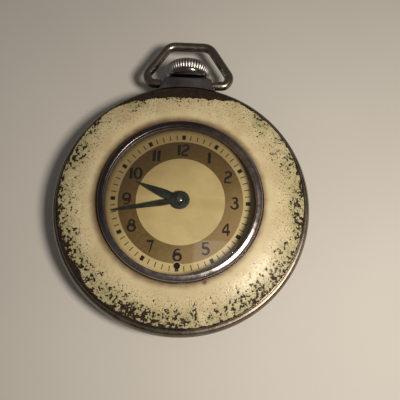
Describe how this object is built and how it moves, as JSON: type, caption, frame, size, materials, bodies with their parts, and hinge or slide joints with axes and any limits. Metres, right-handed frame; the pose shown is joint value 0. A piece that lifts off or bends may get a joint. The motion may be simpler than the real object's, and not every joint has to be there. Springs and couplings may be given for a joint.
{
  "type": "open face pocket watch",
  "caption": "Open face pocket watch: round case with a domed enamelled bezel, crystal, dial and hands, fluted winding crown, wire bow and a full going movement inside.",
  "frame": {"origin": "centre of the flat face on the case back, on the axis of the hands", "axes": "+Z from the back to the crystal, +Y from the hands' axis to 12 o'clock and the bow, +X to 3 o'clock"},
  "size_m": [0.0508, 0.0614, 0.0118],
  "materials": {
    "case_metal": "worn dark nickel plate",
    "cream_enamel": "cream enamel, chipped to dark brown metal at its outer edge",
    "ring_chrome": "pitted chrome",
    "crystal_clear": "clear domed crystal",
    "bow_metal": "dark worn nickel",
    "crown_chrome": "polished, fluted",
    "dial_print": "cream dial with a brown chapter ring",
    "hand_black": "black lacquer",
    "brass": "brushed brass",
    "plate_nickel": "nickelled, straight grained",
    "steel": "polished steel",
    "blued_steel": "heat blued"
  },
  "bodies": {
    "case": {"case_middle": "case_metal", "pendant_neck": "case_metal", "stem_sleeve": "steel", "dial": "dial_print", "dial_spacer_ring": "brass", "dial_locating_stud": "steel", "front_plate": "brass", "back_plate": "plate_nickel", "pillar_1": "brass", "pillar_2": "brass", "pillar_3": "brass", "pillar_4": "brass", "plate_screw_1": "blued_steel", "plate_screw_2": "blued_steel", "plate_screw_3": "blued_steel", "plate_screw_4": "blued_steel", "case_screw_1": "steel", "case_screw_2": "steel", "balance_cock": "plate_nickel", "cock_screw": "blued_steel", "pallet_bridge": "plate_nickel", "hairspring": "blued_steel", "click_screw": "blued_steel", "click_spring": "blued_steel"},
    "back_cover": {"case_back": "case_metal"},
    "bezel_cover": {"bezel": "cream_enamel", "crystal_ring": "ring_chrome", "crystal": "crystal_clear"},
    "bow": {"bow": "bow_metal"},
    "winding_pinion": {"winding_pinion": "steel"},
    "crown": {"crown": "crown_chrome", "winding_stem": "steel"},
    "clutch": {"clutch_wheel": "steel"},
    "crown_wheel": {"crown_wheel": "steel"},
    "ratchet": {"ratchet_wheel": "steel", "barrel_arbor": "steel", "ratchet_screw": "blued_steel"},
    "setting_lever": {"setting_lever": "steel"},
    "clutch_lever": {"clutch_lever": "steel"},
    "click": {"click": "steel"},
    "minute_hand": {"minute_hand": "hand_black", "cannon_pinion": "steel"},
    "minute_wheel": {"minute_wheel": "brass"},
    "hour_hand": {"hour_hand": "hand_black", "hour_wheel": "brass"},
    "setting_wheel": {"setting_wheel": "steel"},
    "barrel": {"mainspring_barrel": "brass", "barrel_lid": "brass", "mainspring": "blued_steel"},
    "center_wheel": {"center_wheel": "brass"},
    "third_wheel": {"third_wheel": "brass"},
    "fourth_wheel": {"fourth_wheel": "brass"},
    "escape_wheel": {"escape_wheel": "steel"},
    "pallet_lever": {"pallet_lever": "steel"},
    "balance": {"balance_wheel": "brass", "balance_staff": "steel", "roller": "steel"},
    "regulator": {"regulator": "steel"}
  },
  "joints": [
    {"name": "back_lift_off", "type": "slide", "parent": "case", "child": "back_cover", "axis": [0, 0, -1], "range_m": [0, 0.0025]},
    {"name": "bezel_lift_off", "type": "slide", "parent": "case", "child": "bezel_cover", "axis": [0, 0, 1], "range_m": [0, 0.003]},
    {"name": "bow_swing", "type": "hinge", "parent": "case", "child": "bow", "pos_m": [0, 0.0261, 0.0059], "axis": [1, 0, 0], "range_deg": [-105, 105]},
    {"name": "crown_turn", "type": "hinge", "parent": "case", "child": "winding_pinion", "pos_m": [0, 0.01475, 0.0059], "axis": [0, 1, 0], "continuous": true},
    {"name": "crown_pull", "type": "slide", "parent": "winding_pinion", "child": "crown", "axis": [0, 1, 0], "range_m": [0, 0.001]},
    {"name": "clutch_slide", "type": "slide", "parent": "winding_pinion", "child": "clutch", "axis": [0, 1, 0], "range_m": [-0.0007, 0]},
    {"name": "setting_lever_turn", "type": "hinge", "parent": "case", "child": "setting_lever", "pos_m": [0.0027, 0.0173, 0.0065], "axis": [0, 0, 1], "range_deg": [-23, 0]},
    {"name": "clutch_lever_turn", "type": "hinge", "parent": "case", "child": "clutch_lever", "pos_m": [-0.0033, 0.01365, 0.00705], "axis": [0, 0, 1], "range_deg": [-13, 0]},
    {"name": "crown_wheel_turn", "type": "hinge", "parent": "case", "child": "crown_wheel", "pos_m": [0, 0.0122, 0.00105], "axis": [0, 0, 1], "continuous": true},
    {"name": "ratchet_turn", "type": "hinge", "parent": "case", "child": "ratchet", "pos_m": [0.00921, 0.00335, 0.00105], "axis": [0, 0, 1], "continuous": true},
    {"name": "click_turn", "type": "hinge", "parent": "case", "child": "click", "pos_m": [0.01386, -0.0047, 0.00105], "axis": [0, 0, 1], "range_deg": [-12, 0]},
    {"name": "minute_hand_turn", "type": "hinge", "parent": "case", "child": "minute_hand", "pos_m": [0, 0, 0.0065], "axis": [0, 0, 1], "continuous": true},
    {"name": "minute_wheel_turn", "type": "hinge", "parent": "case", "child": "minute_wheel", "pos_m": [0, 0.0048, 0.0065], "axis": [0, 0, 1], "continuous": true},
    {"name": "hour_hand_turn", "type": "hinge", "parent": "case", "child": "hour_hand", "pos_m": [0, 0, 0.00705], "axis": [0, 0, 1], "continuous": true},
    {"name": "setting_wheel_turn", "type": "hinge", "parent": "case", "child": "setting_wheel", "pos_m": [0, 0.01032, 0.0065], "axis": [0, 0, 1], "continuous": true},
    {"name": "fourth_wheel_turn", "type": "hinge", "parent": "case", "child": "fourth_wheel", "pos_m": [-0.00641, -0.00786, 0.003], "axis": [0, 0, 1], "continuous": true},
    {"name": "third_wheel_turn", "type": "hinge", "parent": "case", "child": "third_wheel", "pos_m": [-0.00796, -0.00148, 0.004], "axis": [0, 0, 1], "continuous": true},
    {"name": "center_wheel_turn", "type": "hinge", "parent": "case", "child": "center_wheel", "pos_m": [0, 0, 0.00475], "axis": [0, 0, 1], "continuous": true},
    {"name": "barrel_turn", "type": "hinge", "parent": "case", "child": "barrel", "pos_m": [0.00921, 0.00335, 0.00265], "axis": [0, 0, 1], "continuous": true},
    {"name": "escape_wheel_turn", "type": "hinge", "parent": "case", "child": "escape_wheel", "pos_m": [-0.00166, -0.01088, 0.00345], "axis": [0, 0, 1], "continuous": true},
    {"name": "pallet_lever_turn", "type": "hinge", "parent": "case", "child": "pallet_lever", "pos_m": [0.00209, -0.00983, 0.00345], "axis": [0, 0, 1], "range_deg": [-5, 5]},
    {"name": "balance_turn", "type": "hinge", "parent": "case", "child": "balance", "pos_m": [0.00652, -0.0086, 0.00135], "axis": [0, 0, 1], "range_deg": [-220, 220], "stiffness_Nm_per_rad": 0.0000035},
    {"name": "regulator_turn", "type": "hinge", "parent": "case", "child": "regulator", "pos_m": [0.00652, -0.0086, 0.00074], "axis": [0, 0, 1], "range_deg": [-15, 15]}
  ],
  "couplings": [
    {"joint": "clutch_slide", "follows": "crown_pull", "ratio": -0.7},
    {"joint": "setting_lever_turn", "follows": "crown_pull", "rad_per_m": -380},
    {"joint": "clutch_lever_turn", "follows": "crown_pull", "rad_per_m": -213},
    {"joint": "crown_wheel_turn", "follows": "crown_turn", "ratio": 0.375},
    {"joint": "ratchet_turn", "follows": "crown_turn", "ratio": -0.275},
    {"joint": "minute_wheel_turn", "follows": "minute_hand_turn", "ratio": -0.33333},
    {"joint": "setting_wheel_turn", "follows": "minute_hand_turn", "ratio": 0.625},
    {"joint": "hour_hand_turn", "follows": "minute_hand_turn", "ratio": 0.083333},
    {"joint": "third_wheel_turn", "follows": "fourth_wheel_turn", "ratio": -0.13333},
    {"joint": "center_wheel_turn", "follows": "fourth_wheel_turn", "ratio": 0.016667},
    {"joint": "barrel_turn", "follows": "fourth_wheel_turn", "ratio": -0.0027778},
    {"joint": "escape_wheel_turn", "follows": "fourth_wheel_turn", "ratio": -8}
  ]
}
